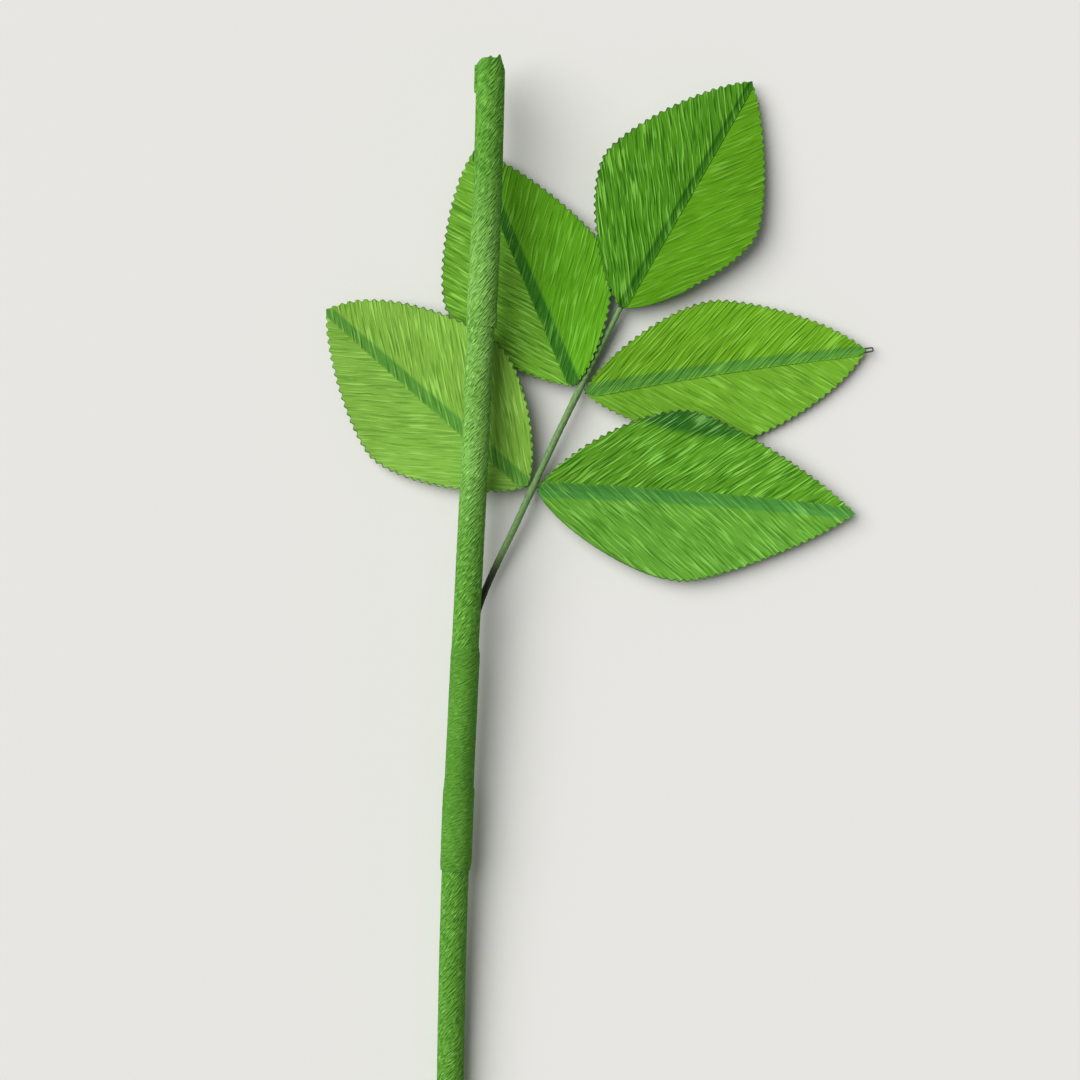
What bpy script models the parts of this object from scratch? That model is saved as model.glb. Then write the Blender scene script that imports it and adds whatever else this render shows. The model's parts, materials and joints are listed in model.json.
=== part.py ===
"""Leafed stem of a crepe paper rose.

A straight core is wrapped in crepe paper. A tape-wrapped leaf stalk is bound
to it under an extra layer of paper and carries five leaflets. Each leaflet is
two pinked paper halves, lapped and glued along a midrib and folded up from it
like a shallow V, on a hairpin of wire.

The stem lies with its foot on the ground and its upper part held up by the
leaf wires. +Y runs from the foot to the top, +X points to the stalk's side and
+Z points up. Lengths are in metres, angles in degrees.
"""

import math
from typing import NamedTuple

import bmesh
import bpy
from mathutils import Vector
from mathutils.geometry import delaunay_2d_cdt, interpolate_bezier

# Driving dimensions of the stem
STEM_LENGTH = 0.700
CORE_DIAMETER = 0.0150
PAPER_GAP = 0.0003
BASE_WRAP_WALL = 0.0007
TOP_WRAP_WALL = 0.0005
BINDING_WALL = 0.0006
STEM_LEAN = 2.05
STEM_BOW = 0.0014
STEM_SWAY = 0.0019
CORE_SETBACK = 0.006
STEM_SIDES = 28
STEM_STATIONS = 14

# Where the outer layers of paper start and end, measured from the foot
TOP_WRAP_START = 0.537
BINDING_START = 0.201
BINDING_END = 0.339
BINDING_LAP_END = 0.252
BINDING_LAP = 0.0004

# The ragged top edge of the paper and the strip end folded down over it
CROWN_SLANT = 0.0028
CROWN_RAGGEDNESS = 0.0010
TAB_LENGTH = 0.017
TAB_DROP = 0.007
TAB_WIDTH = 0.0095
TAB_WALL = 0.0009
TAB_DIRECTION = 197.0

# The leaf stalk
STALK_DIAMETER = 0.0043
STALK_TWIG_DIAMETER = 0.0035
STALK_JOINT_SWELL = 0.0006
STALK_SIDE = 30.0
STALK_TAIL_MARGIN = 0.006
STALK_CHORD = 0.2295
STALK_CHORD_ANGLE = 66.7
STALK_END_ANGLE = 63.0
STALK_RISE_HANDLE = 0.032
STALK_END_HANDLE = 0.070
STALK_HEIGHT = 0.009
JOINT_TWO_FROM_END = 0.0588
JOINT_ONE_FROM_END = 0.1256
STALK_SIDES = 10
STALK_STATIONS = 34

# Leaf paper, pinked margin and midrib wire
SHEET = 0.0007
TOOTH_PITCH = 0.0052
TOOTH_DEPTH = 0.0018
SEAM_LAP = 0.0036
WIRE_DIAMETER = 0.0010
WIRE_SPREAD = 0.0023
WIRE_SETBACK = 0.012
FOLD_BELLY = 0.30
LEAF_ROW_SPACING = 0.017

# Outline of a leaf half as shares of its length and width
OUTLINE_BASE_HANDLE = (0.022, 0.315)
OUTLINE_SHOULDER_HANDLE = 0.168
OUTLINE_FALL_HANDLE = 0.105
OUTLINE_TIP_HANDLE = (0.914, 0.379)
OUTLINE_SAMPLES = 60
INNER_ROWS = (0.36, 0.70)

# Heights
LEAF_REST_HEIGHT = WIRE_DIAMETER + PAPER_GAP
STEM_CLEARANCE = 0.0200
STEM_CLEARANCE_AT = 0.491


class Leaflet(NamedTuple):
    """One leaflet: its place on the stalk, its size and how it is folded."""

    name: str
    from_end: float
    length: float
    angle: float
    left_width: float
    right_width: float
    left_widest: float
    right_widest: float
    left_tip_fullness: float
    right_tip_fullness: float
    left_fold: float
    right_fold: float
    arch: float
    touch: float
    tip_rise: float
    wire_past_tip: float


TERMINAL = Leaflet(
    "terminal", 0.0, 0.1635, 59.8, 0.0570, 0.0515, 0.47, 0.49, 1.14, 1.00,
    14.0, 13.0, 0.0, 0.55, 0.006, -WIRE_SETBACK)
UPPER_LEFT = Leaflet(
    "upper_left", JOINT_TWO_FROM_END, 0.1605, 113.2, 0.0560, 0.0515, 0.47, 0.43, 1.20, 1.10,
    4.0, 9.0, 0.0, 0.50, 0.001, -WIRE_SETBACK)
MIDDLE_RIGHT = Leaflet(
    "middle_right", JOINT_TWO_FROM_END, 0.1780, 8.4, 0.0425, 0.0475, 0.48, 0.52, 1.28, 1.38,
    11.0, 4.0, 0.0025, 0.55, 0.004, 0.0047)
LOWER_LEFT = Leaflet(
    "lower_left", JOINT_ONE_FROM_END, 0.1675, 138.8, 0.0520, 0.0550, 0.50, 0.44, 1.10, 1.75,
    5.0, 13.0, 0.0, 0.60, 0.003, -WIRE_SETBACK)
LOWER_RIGHT = Leaflet(
    "lower_right", JOINT_ONE_FROM_END, 0.1990, -4.3, 0.0545, 0.0530, 0.45, 0.47, 0.86, 0.92,
    15.0, 7.0, 0.0020, 0.50, 0.005, -WIRE_SETBACK)
LEAFLETS = (TERMINAL, UPPER_LEFT, MIDDLE_RIGHT, LOWER_LEFT, LOWER_RIGHT)

# Finishes: colour, roughness
STEM_GREEN = (0.16, 0.40, 0.045)
TAPE_GREEN = (0.10, 0.26, 0.045)
LEAF_GREEN = (0.20, 0.47, 0.04)
WOOD_TAN = (0.55, 0.40, 0.24)
WIRE_GREEN = (0.06, 0.16, 0.06)


def clear_scene():
    """Remove whatever the scene holds."""
    for item in list(bpy.data.objects):
        bpy.data.objects.remove(item, do_unlink=True)


def material(name, colour, roughness, metallic=0.0):
    """A plain Principled finish."""
    finish = bpy.data.materials.new(name)
    finish.use_nodes = True
    shader = finish.node_tree.nodes["Principled BSDF"]
    shader.inputs["Base Color"].default_value = (*colour, 1.0)
    shader.inputs["Roughness"].default_value = roughness
    shader.inputs["Metallic"].default_value = metallic
    return finish


def add_object(name, bm, finish, root):
    """Close a bmesh into a named object with smooth round sides."""
    bmesh.ops.recalc_face_normals(bm, faces=bm.faces)
    mesh = bpy.data.meshes.new(name)
    bm.to_mesh(mesh)
    bm.free()
    mesh.shade_smooth()
    mesh.set_sharp_from_angle(angle=math.radians(40))
    mesh.materials.append(finish)
    item = bpy.data.objects.new(name, mesh)
    item.parent = root
    bpy.context.scene.collection.objects.link(item)
    return item


def add_ring(bm, points):
    """One closed ring of vertices."""
    return [bm.verts.new(point) for point in points]


def join_rings(bm, first, second):
    """Faces between two rings of the same count."""
    count = len(first)
    for i in range(count):
        j = (i + 1) % count
        bm.faces.new((first[i], first[j], second[j], second[i]))


def direction(angle):
    """Unit vector in the ground plane."""
    turn = math.radians(angle)
    return Vector((math.cos(turn), math.sin(turn), 0.0))


# The stem's own shape

BASE_WRAP_RADIUS = CORE_DIAMETER / 2 + PAPER_GAP + BASE_WRAP_WALL
STEM_SLOPE = math.asin(STEM_CLEARANCE / STEM_CLEARANCE_AT)
STEM_DIRECTION = (
    direction(90.0 - STEM_LEAN) * math.cos(STEM_SLOPE) + Vector((0, 0, math.sin(STEM_SLOPE))))
STEM_SIDE = direction(-STEM_LEAN)
STEM_UP = STEM_SIDE.cross(STEM_DIRECTION)
FOOT = Vector((0.0, 0.0, BASE_WRAP_RADIUS * math.cos(STEM_SLOPE)))


def stem_axis(along):
    """Point on the gently bowed axis at a distance from the foot."""
    share = along / STEM_LENGTH
    offset = -STEM_BOW * math.sin(math.pi * share) - STEM_SWAY * math.sin(2 * math.pi * share)
    return FOOT + STEM_DIRECTION * along + STEM_SIDE * offset


def around_stem(along, turn, radius):
    """Point at a turn about the axis: 0 is the stalk's side, 90 faces up."""
    angle = math.radians(turn)
    return stem_axis(along) + STEM_SIDE * (radius * math.cos(angle)) + STEM_UP * (radius * math.sin(angle))


def stem_turns():
    """Turns of the sides, with one flat side facing the ground."""
    step = 360.0 / STEM_SIDES
    return [-90.0 + step / 2 + i * step for i in range(STEM_SIDES)]


def stations(start, end, most):
    """Even stations between two distances, at the stem's spacing or less."""
    count = max(2, math.ceil((end - start) / (STEM_LENGTH / most)))
    return [start + (end - start) * i / count for i in range(count + 1)]


def crown_edge(turn):
    """How far the ragged top edge stands above the wrap's even end."""
    angle = math.radians(turn)
    ragged = 0.6 * math.sin(3 * angle + 0.8) + 0.4 * math.sin(7 * angle)
    return CROWN_SLANT * math.cos(angle) + CROWN_RAGGEDNESS * ragged


def tube(rings_outside, rings_inside):
    """A wall between two stacks of rings, open at both ends."""
    bm = bmesh.new()
    outside = [add_ring(bm, ring) for ring in rings_outside]
    inside = [add_ring(bm, ring) for ring in rings_inside]
    for stack in (outside, inside):
        for first, second in zip(stack, stack[1:]):
            join_rings(bm, first, second)
    join_rings(bm, outside[0], inside[0])
    join_rings(bm, outside[-1], inside[-1])
    return bm


def make_core(root, finish):
    """The stiff rod inside the paper, cut flat at the foot."""
    bm = bmesh.new()
    turns = stem_turns()
    levels = stations(0.0, STEM_LENGTH - CORE_SETBACK, STEM_STATIONS)
    rings = [
        add_ring(bm, [around_stem(along, turn, CORE_DIAMETER / 2) for turn in turns])
        for along in levels]
    for first, second in zip(rings, rings[1:]):
        join_rings(bm, first, second)
    bm.faces.new(rings[0])
    bm.faces.new(rings[-1])
    return add_object("stem_core", bm, finish, root)


def make_base_wrap(root, finish):
    """The full-length layer of paper, from the foot to the top."""
    turns = stem_turns()
    inner = CORE_DIAMETER / 2 + PAPER_GAP
    end = STEM_LENGTH - CORE_SETBACK / 2
    levels = stations(0.0, end, STEM_STATIONS)

    def ring(along, radius):
        return [around_stem(along, turn, radius) for turn in turns]

    bm = tube([ring(z, BASE_WRAP_RADIUS) for z in levels], [ring(z, inner) for z in levels])
    return add_object("stem_wrap", bm, finish, root)


def in_tab(turn):
    """Whether a turn lies under the strip end folded down at the top."""
    reach = math.degrees(TAB_WIDTH / 2 / (BASE_WRAP_RADIUS + PAPER_GAP + TOP_WRAP_WALL))
    return abs((turn - TAB_DIRECTION + 180.0) % 360.0 - 180.0) <= reach


def make_top_wrap(root, finish):
    """The outer layer at the top, ragged at its edge, with a folded tab."""
    turns = stem_turns()
    inner = BASE_WRAP_RADIUS + PAPER_GAP
    outer = inner + TOP_WRAP_WALL
    tab_top = STEM_LENGTH - TAB_DROP
    tab_foot = tab_top - TAB_LENGTH
    fold = 0.0004
    levels = stations(TOP_WRAP_START, tab_foot, STEM_STATIONS) + [tab_foot + fold, tab_top - fold, tab_top]

    def ring(along, radius, tabbed=False):
        return [
            around_stem(along, turn, radius + (TAB_WALL if tabbed and in_tab(turn) else 0.0))
            for turn in turns]

    crown_out = [around_stem(STEM_LENGTH + crown_edge(turn), turn, outer) for turn in turns]
    crown_in = [around_stem(STEM_LENGTH + crown_edge(turn), turn, inner) for turn in turns]
    tab_levels = (tab_foot + fold, tab_top - fold)
    outside = [ring(z, outer, z in tab_levels) for z in levels] + [crown_out]
    inside = [ring(z, inner) for z in levels] + [crown_in]
    return add_object("top_wrap", tube(outside, inside), finish, root)


# The stalk's tail lies along the stem's underside, within the binding layer

STALK_RADIUS = STALK_DIAMETER / 2
TAIL_TURN = -90.0 + STALK_SIDE
TAIL_DISTANCE = BASE_WRAP_RADIUS + PAPER_GAP + STALK_RADIUS


def belt_ring(along, clearance, turns):
    """A ring drawn tight round the stem and the stalk's tail."""
    angle = math.radians(TAIL_TURN)
    tail = Vector((math.cos(angle), math.sin(angle))) * TAIL_DISTANCE
    points = []
    for turn in turns:
        out = Vector((math.cos(math.radians(turn)), math.sin(math.radians(turn))))
        stem_reach = BASE_WRAP_RADIUS + clearance
        tail_reach = out.dot(tail) + STALK_RADIUS + clearance
        centre = tail if tail_reach > stem_reach else Vector((0.0, 0.0))
        radius = STALK_RADIUS + clearance if tail_reach > stem_reach else stem_reach
        flat = centre + out * radius
        points.append(stem_axis(along) + STEM_SIDE * flat.x + STEM_UP * flat.y)
    return points


def make_binding(root, finish):
    """The outer layer that binds the stalk to the stem, thicker at its foot."""
    turns = stem_turns()
    step = 0.0004
    lower = stations(BINDING_START, BINDING_LAP_END, STEM_STATIONS)
    upper = stations(BINDING_LAP_END + step, BINDING_END, STEM_STATIONS)

    def outer(along):
        lap = BINDING_LAP if along <= BINDING_LAP_END else 0.0
        return PAPER_GAP + BINDING_WALL + lap

    levels = lower + upper
    outside = [belt_ring(z, outer(z), turns) for z in levels]
    inside = [belt_ring(z, PAPER_GAP, turns) for z in levels]
    return add_object("binding_wrap", tube(outside, inside), finish, root)


# The stalk's route

def stalk_route():
    """Points of the stalk's centre line, from its bound tail to its end."""
    tail_start = BINDING_START + STALK_TAIL_MARGIN
    tail = [around_stem(z, TAIL_TURN, TAIL_DISTANCE) for z in stations(tail_start, BINDING_END, 14)]
    root_point = tail[-1]
    end = root_point + direction(STALK_CHORD_ANGLE) * STALK_CHORD
    end.z = STALK_HEIGHT
    rise = root_point + STEM_DIRECTION * STALK_RISE_HANDLE
    fall = end - direction(STALK_END_ANGLE) * STALK_END_HANDLE
    free = interpolate_bezier(root_point, rise, fall, end, STALK_STATIONS)
    return tail, [Vector(point) for point in free]


TAIL_POINTS, FREE_POINTS = stalk_route()


def stalk_point(from_end):
    """Point on the free stalk at a distance back from its end."""
    left = from_end
    for near, far in zip(FREE_POINTS[::-1], FREE_POINTS[-2::-1]):
        span = (far - near).length
        if left <= span:
            return near.lerp(far, left / span)
        left -= span
    return FREE_POINTS[0]


def stalk_radius(from_end):
    """The stalk is thicker below its upper joint and swells at the joints."""
    twig = STALK_TWIG_DIAMETER / 2
    share = min(1.0, max(0.0, (from_end - JOINT_TWO_FROM_END) / 0.010 + 0.5))
    radius = twig + (STALK_RADIUS - twig) * share
    for joint in (JOINT_TWO_FROM_END, JOINT_ONE_FROM_END):
        radius += STALK_JOINT_SWELL / 2 * math.exp(-((from_end - joint) / 0.006) ** 2)
    return radius


def sweep(points, radii, sides):
    """A closed round bar along points, on frames that don't twist."""
    bm = bmesh.new()
    forward = (points[1] - points[0]).normalized()
    side = forward.cross(Vector((0.0, 0.0, 1.0))).normalized()
    rings = []
    for i, point in enumerate(points):
        before = points[max(i - 1, 0)]
        after = points[min(i + 1, len(points) - 1)]
        turn = forward.rotation_difference((after - before).normalized())
        forward = turn @ forward
        side = (turn @ side).normalized()
        up = side.cross(forward)
        ring = []
        for k in range(sides):
            angle = 2 * math.pi * (k + 0.5) / sides
            ring.append(point + (side * math.cos(angle) + up * math.sin(angle)) * radii[i])
        rings.append(add_ring(bm, ring))
    for first, second in zip(rings, rings[1:]):
        join_rings(bm, first, second)
    bm.faces.new(rings[0])
    bm.faces.new(rings[-1])
    return bm


def make_stalk(root, finish):
    """The tape-wrapped stalk, one bar from its bound tail to its end."""
    points = TAIL_POINTS[:-1] + FREE_POINTS
    spans = [(b - a).length for a, b in zip(FREE_POINTS, FREE_POINTS[1:])]
    radii = [STALK_RADIUS] * (len(TAIL_POINTS) - 1)
    radii += [stalk_radius(sum(spans[i:])) for i in range(len(FREE_POINTS))]
    return add_object("leaf_stalk", sweep(points, radii, STALK_SIDES), finish, root)


# The leaflets

def half_outline(length, width, widest, fullness):
    """Smooth margin of one half, from the base to the tip, as plan points."""
    base_handle = (OUTLINE_BASE_HANDLE[0] * length, OUTLINE_BASE_HANDLE[1] * width)
    tip_handle = (OUTLINE_TIP_HANDLE[0] * length, OUTLINE_TIP_HANDLE[1] * width * fullness)
    shoulder = Vector((widest * length, width, 0.0))
    before = shoulder - Vector((OUTLINE_SHOULDER_HANDLE * length, 0.0, 0.0))
    after = shoulder + Vector((OUTLINE_FALL_HANDLE * length, 0.0, 0.0))
    lower = interpolate_bezier(
        Vector((0, 0, 0)), Vector((*base_handle, 0.0)), before, shoulder, OUTLINE_SAMPLES)
    upper = interpolate_bezier(
        shoulder, after, Vector((*tip_handle, 0.0)), Vector((length, 0.0, 0.0)),
        OUTLINE_SAMPLES)
    return [Vector(point).to_2d() for point in lower + upper[1:]]


def pinked(outline):
    """Cut the margin to a zigzag of even teeth, tips on the outline."""
    spans = [(b - a).length for a, b in zip(outline, outline[1:])]
    total = sum(spans)
    count = 2 * round(total / TOOTH_PITCH)
    points = []
    i = 0
    passed = 0.0
    for k in range(1, count):
        target = total * k / count
        while passed + spans[i] < target:
            passed += spans[i]
            i += 1
        along = (outline[i + 1] - outline[i]).normalized()
        point = outline[i] + along * (target - passed)
        inward = Vector((along.y, -along.x))
        depth = TOOTH_DEPTH * min(1.0, point.y / (4 * TOOTH_DEPTH))
        points.append(point + inward * (depth if k % 2 else 0.0))
    return points


def half_width(outline, along):
    """Width of a half at a distance along the midrib."""
    for a, b in zip(outline, outline[1:]):
        if b.x >= along > a.x:
            return a.y + (b.y - a.y) * (along - a.x) / (b.x - a.x)
    return 0.0


class LeafShape:
    """The surface that one leaflet's halves and wire follow."""

    def __init__(self, leaf):
        self.leaf = leaf
        self.joint = stalk_point(leaf.from_end)
        self.heading = direction(leaf.angle)
        self.left = Vector((-self.heading.y, self.heading.x, 0.0))
        self.start = self.clear_of_stalk()
        self.base_height = self.joint.z + PAPER_GAP + WIRE_DIAMETER / 2
        steepest = math.radians(max(leaf.left_fold, leaf.right_fold) * (1 + FOLD_BELLY))
        self.lap_rise = (SHEET + PAPER_GAP) / math.cos(steepest)

    def clear_of_stalk(self):
        """How far from the joint's centre both wires clear the slanting stalk."""
        if self.leaf.from_end == 0.0:
            return PAPER_GAP
        span = stalk_point(self.leaf.from_end - STALK_RADIUS) - self.joint
        meeting = abs(self.heading.angle(Vector((span.x, span.y, 0.0))))
        reach = stalk_radius(self.leaf.from_end) + PAPER_GAP
        half_pair = (WIRE_SPREAD + WIRE_DIAMETER) / 2
        return reach / math.sin(meeting) + half_pair / math.tan(min(meeting, math.pi - meeting))

    def midrib_height(self, along):
        """Underside of the lower sheet on the midrib."""
        leaf = self.leaf
        low_at = leaf.touch * leaf.length
        if along < low_at:
            share = (low_at - along) / low_at
            return LEAF_REST_HEIGHT + (self.base_height - LEAF_REST_HEIGHT) * share ** 2
        share = (along - low_at) / (leaf.length - low_at)
        return LEAF_REST_HEIGHT + leaf.tip_rise * share ** 2

    def point(self, along, across, lift):
        """World point of a plan place on the leaflet; left is positive."""
        leaf = self.leaf
        fold, width = leaf.left_fold, leaf.left_width
        if across < 0:
            fold, width = leaf.right_fold, leaf.right_width
        reach = abs(across)
        rise = math.tan(math.radians(fold)) * reach * (1 + FOLD_BELLY * (1 - reach / width))
        bend = leaf.arch * math.sin(math.pi * min(1.0, max(0.0, along / leaf.length)))
        place = self.joint + self.heading * (self.start + along) + self.left * (across + bend)
        place.z = self.midrib_height(along) + rise + lift
        return place


def half_mesh(shape, side, lift):
    """One leaf half: pinked margin on its own side, lap flap on the other."""
    leaf = shape.leaf
    width = leaf.left_width if side > 0 else leaf.right_width
    widest = leaf.left_widest if side > 0 else leaf.right_widest
    fullness = leaf.left_tip_fullness if side > 0 else leaf.right_tip_fullness
    outline = half_outline(leaf.length, width, widest, fullness)
    rows = max(3, round(leaf.length / LEAF_ROW_SPACING))
    midrib = [Vector((leaf.length * i / rows, 0.0)) for i in range(rows + 1)]
    flap = []
    for i in range(1, rows):
        lap = min(SEAM_LAP, 0.5 * half_width(outline, midrib[i].x))
        flap.append(Vector((midrib[i].x, -lap)))
    border = [midrib[0]] + pinked(outline) + [midrib[-1]] + flap[::-1]
    inner = []
    for i in range(1, rows):
        for share in INNER_ROWS:
            inner.append(Vector((midrib[i].x, share * half_width(outline, midrib[i].x))))
    points = border + midrib[1:-1] + inner
    rib = [0] + list(range(len(border), len(border) + rows - 1)) + [len(border) - len(flap) - 1]
    edges = [(i, (i + 1) % len(border)) for i in range(len(border))]
    edges += list(zip(rib, rib[1:]))
    flat_points, _, flat_faces, *_ = delaunay_2d_cdt(points, edges, [], 1, 1e-7)
    bm = bmesh.new()
    verts = [bm.verts.new(shape.point(p.x, p.y * side, lift)) for p in flat_points]
    for face in flat_faces:
        bm.faces.new([verts[i] for i in face])
    for face in bm.faces:
        face.normal_update()
        if face.normal.z < 0:
            face.normal_flip()
    return bm


def make_half(shape, side, lift, finish, root):
    """A leaf half as a sheet with its thickness above its underside."""
    name = f"{shape.leaf.name}_{'left' if side > 0 else 'right'}_half"
    bm = half_mesh(shape, side, lift)
    mesh = bpy.data.meshes.new(name)
    bm.to_mesh(mesh)
    bm.free()
    mesh.shade_smooth()
    mesh.materials.append(finish)
    item = bpy.data.objects.new(name, mesh)
    item.parent = root
    bpy.context.scene.collection.objects.link(item)
    wall = item.modifiers.new("sheet", "SOLIDIFY")
    wall.thickness = SHEET
    wall.offset = 1.0
    wall.use_even_offset = True
    return item


def make_wire(shape, finish, root):
    """The hairpin of wire under the midrib, its loop towards the tip."""
    leaf = shape.leaf
    drop = -PAPER_GAP - WIRE_DIAMETER / 2
    spread = WIRE_SPREAD / 2
    straight_end = leaf.length + leaf.wire_past_tip - spread - WIRE_DIAMETER / 2
    count = 12
    runs = [straight_end * i / count for i in range(count + 1)]
    outgoing = [shape.point(along, spread, drop) for along in runs]
    turn = []
    for k in range(1, 6):
        angle = math.pi * k / 6
        turn.append(shape.point(
            straight_end + spread * math.sin(angle), spread * math.cos(angle), drop))
    returning = [shape.point(along, -spread, drop) for along in runs[::-1]]
    route = outgoing + turn + returning
    radii = [WIRE_DIAMETER / 2] * len(route)
    return add_object(f"{leaf.name}_wire", sweep(route, radii, 6), finish, root)


def lowest_corner_and_centre(items):
    """Lowest height and plan centre of the evaluated pieces."""
    bpy.context.view_layer.update()
    graph = bpy.context.evaluated_depsgraph_get()
    corners = []
    for item in items:
        solid = item.evaluated_get(graph)
        mesh = solid.to_mesh()
        corners += [solid.matrix_world @ vertex.co for vertex in mesh.vertices]
        solid.to_mesh_clear()
    low = Vector([min(corner[i] for corner in corners) for i in range(3)])
    high = Vector([max(corner[i] for corner in corners) for i in range(3)])
    return Vector(((low.x + high.x) / 2, (low.y + high.y) / 2, low.z))


def main():
    """Build the whole stem and put its origin under the middle of it."""
    clear_scene()
    root = bpy.data.objects.new("leafed_stem", None)
    bpy.context.scene.collection.objects.link(root)

    stem_paper = material("stem_paper", STEM_GREEN, 0.80)
    tape = material("stalk_tape", TAPE_GREEN, 0.70)
    wood = material("core_wood", WOOD_TAN, 0.75)
    wire = material("midrib_wire", WIRE_GREEN, 0.50, 0.2)

    pieces = [
        make_core(root, wood),
        make_base_wrap(root, stem_paper),
        make_top_wrap(root, stem_paper),
        make_binding(root, stem_paper),
        make_stalk(root, tape),
    ]
    leaf_paper = material("leaf_paper", LEAF_GREEN, 0.75)
    for leaf in LEAFLETS:
        shape = LeafShape(leaf)
        pieces.append(make_half(shape, -1, 0.0, leaf_paper, root))
        pieces.append(make_half(shape, 1, shape.lap_rise, leaf_paper, root))
        pieces.append(make_wire(shape, wire, root))

    root.location = -lowest_corner_and_centre(pieces)
    bpy.context.view_layer.update()


main()
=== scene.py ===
"""Leafed stem of a crepe paper rose, lying on a pale floor.

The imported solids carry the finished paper. Each leaf half is a fine sheet with
real creases and pinked teeth, each wrap is a fine creased tube, and the stalk
is a bar wrapped in tape. Lengths are in metres, angles in degrees.
"""

import json
import math
from typing import NamedTuple

import bpy
import numpy as np
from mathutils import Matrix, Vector, noise
from mathutils.geometry import interpolate_bezier


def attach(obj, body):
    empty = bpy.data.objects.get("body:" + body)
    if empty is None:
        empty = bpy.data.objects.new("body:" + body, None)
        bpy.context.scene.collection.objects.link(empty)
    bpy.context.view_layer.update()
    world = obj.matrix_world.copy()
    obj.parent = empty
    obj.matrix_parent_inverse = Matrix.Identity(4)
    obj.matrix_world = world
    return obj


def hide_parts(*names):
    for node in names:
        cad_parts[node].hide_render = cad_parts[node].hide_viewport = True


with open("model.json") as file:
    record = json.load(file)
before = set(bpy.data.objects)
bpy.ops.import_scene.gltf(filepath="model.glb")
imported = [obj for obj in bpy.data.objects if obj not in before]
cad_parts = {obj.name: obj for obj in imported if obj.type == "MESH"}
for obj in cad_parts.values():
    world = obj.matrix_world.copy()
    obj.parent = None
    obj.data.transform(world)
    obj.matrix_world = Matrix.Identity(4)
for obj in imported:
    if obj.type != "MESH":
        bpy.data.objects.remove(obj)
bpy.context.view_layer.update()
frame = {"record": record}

# The stem's own dimensions, as the solids have them
STEM_LENGTH = 0.700
CORE_DIAMETER = 0.0150
PAPER_GAP = 0.0003
BASE_WRAP_WALL = 0.0007
TOP_WRAP_WALL = 0.0005
BINDING_WALL = 0.0006
STEM_BOW = 0.0014
STEM_SWAY = 0.0019
CORE_SETBACK = 0.006
TOP_WRAP_START = 0.537
BINDING_START = 0.201
BINDING_END = 0.339
BINDING_LAP_END = 0.252
BINDING_LAP = 0.0004
TAB_END = 0.0208
TAB_WIDTH = 0.0095
TAB_WALL = 0.0009
TAB_DIRECTION = 197.0

# Where the finished paper departs a little from the solids
STEM_TOP_BEND = 0.0018
STEM_BEND_RANGE = (0.50, 0.64)
UPPER_SLIMMING = 0.0005
UPPER_SLIMMING_RANGE = (0.56, 0.63)
WRAP_END_TAPER = 0.005
STALK_HUG = 0.0028
STALK_HUG_FULL = 0.012
STALK_HUG_FADE = (0.026, 0.088)

# The stalk's dimensions
STALK_RADIUS = 0.00215
STALK_TWIG_RADIUS = 0.00175
STALK_JOINT_SWELL = 0.0003
STALK_SIDE = 30.0
STALK_TAIL_MARGIN = 0.006
STALK_CHORD = 0.2295
STALK_CHORD_ANGLE = 66.7
STALK_END_ANGLE = 63.0
STALK_RISE_HANDLE = 0.032
STALK_END_HANDLE = 0.070
STALK_HEIGHT = 0.009
JOINT_TWO_FROM_END = 0.0588
JOINT_ONE_FROM_END = 0.1256
STALK_STATIONS = 34
STALK_TAIL_STATIONS = 20
STALK_SUBSTEPS = 8
STALK_SIDES = 20
TAPE_PITCH = 0.0062
TAPE_STEP = 0.00016
# Where the painted shadow on the tape begins and is full, back from the stalk's end.
TAPE_SHADOW_FROM_END = (0.164, 0.186)

# The leaflets' dimensions
SHEET = 0.0007
PAPER = 0.0005
TOOTH_PITCH = 0.0052
TOOTH_DEPTH = 0.0016
SEAM_LAP = 0.0036
WIRE_DIAMETER = 0.0010
WIRE_SPREAD = 0.0023
WIRE_SETBACK = 0.012
FOLD_BELLY = 0.30
OUTLINE_BASE_HANDLE = (0.022, 0.315)
OUTLINE_SHOULDER_HANDLE = 0.168
OUTLINE_FALL_HANDLE = 0.105
OUTLINE_TIP_HANDLE = (0.914, 0.379)
OUTLINE_SAMPLES = 200
LEAF_REST_HEIGHT = WIRE_DIAMETER + PAPER_GAP

# Fineness of the new meshes
SAMPLES_PER_TOOTH = 6
LEAF_ROWS = 50
STEM_SIDES = 80
STEM_STEP = 0.0016
STRIP_SIDES = 96
STRIP_STEP = 0.0010
CORE_SIDES = 40
CORE_STEP = 0.02
WIRE_STATIONS = 40
WIRE_LOOP_STATIONS = 13
DOUBLES = 0.000004

# Creases of the crepe
CREASE_ANGLE = 38.0
CREASE_PITCH = 0.0030
CREASE_RUN = 0.045
LEAF_RELIEF = 0.00018
STEM_CREASE_ANGLE = 48.0
STEM_CREASE_PITCH = 0.0022
STEM_CREASE_RUN = 0.020
STEM_RELIEF = 0.00010
UV_UNIT = 0.1

# The camera looks straight down on the stem
CAMERA_HEIGHT = 1.5
CAMERA_AT = (-0.0373, 0.0542)
FOCAL_PIXELS = 2392.4
FRAME_PIXELS = 1080
SENSOR = 36.0


class Leaflet(NamedTuple):
    """One leaflet: its place on the stalk, its size and how it is folded."""

    name: str
    from_end: float
    length: float
    angle: float
    left_width: float
    right_width: float
    left_widest: float
    right_widest: float
    left_tip_fullness: float
    right_tip_fullness: float
    left_fold: float
    right_fold: float
    arch: float
    touch: float
    tip_rise: float
    wire_past_tip: float


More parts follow.
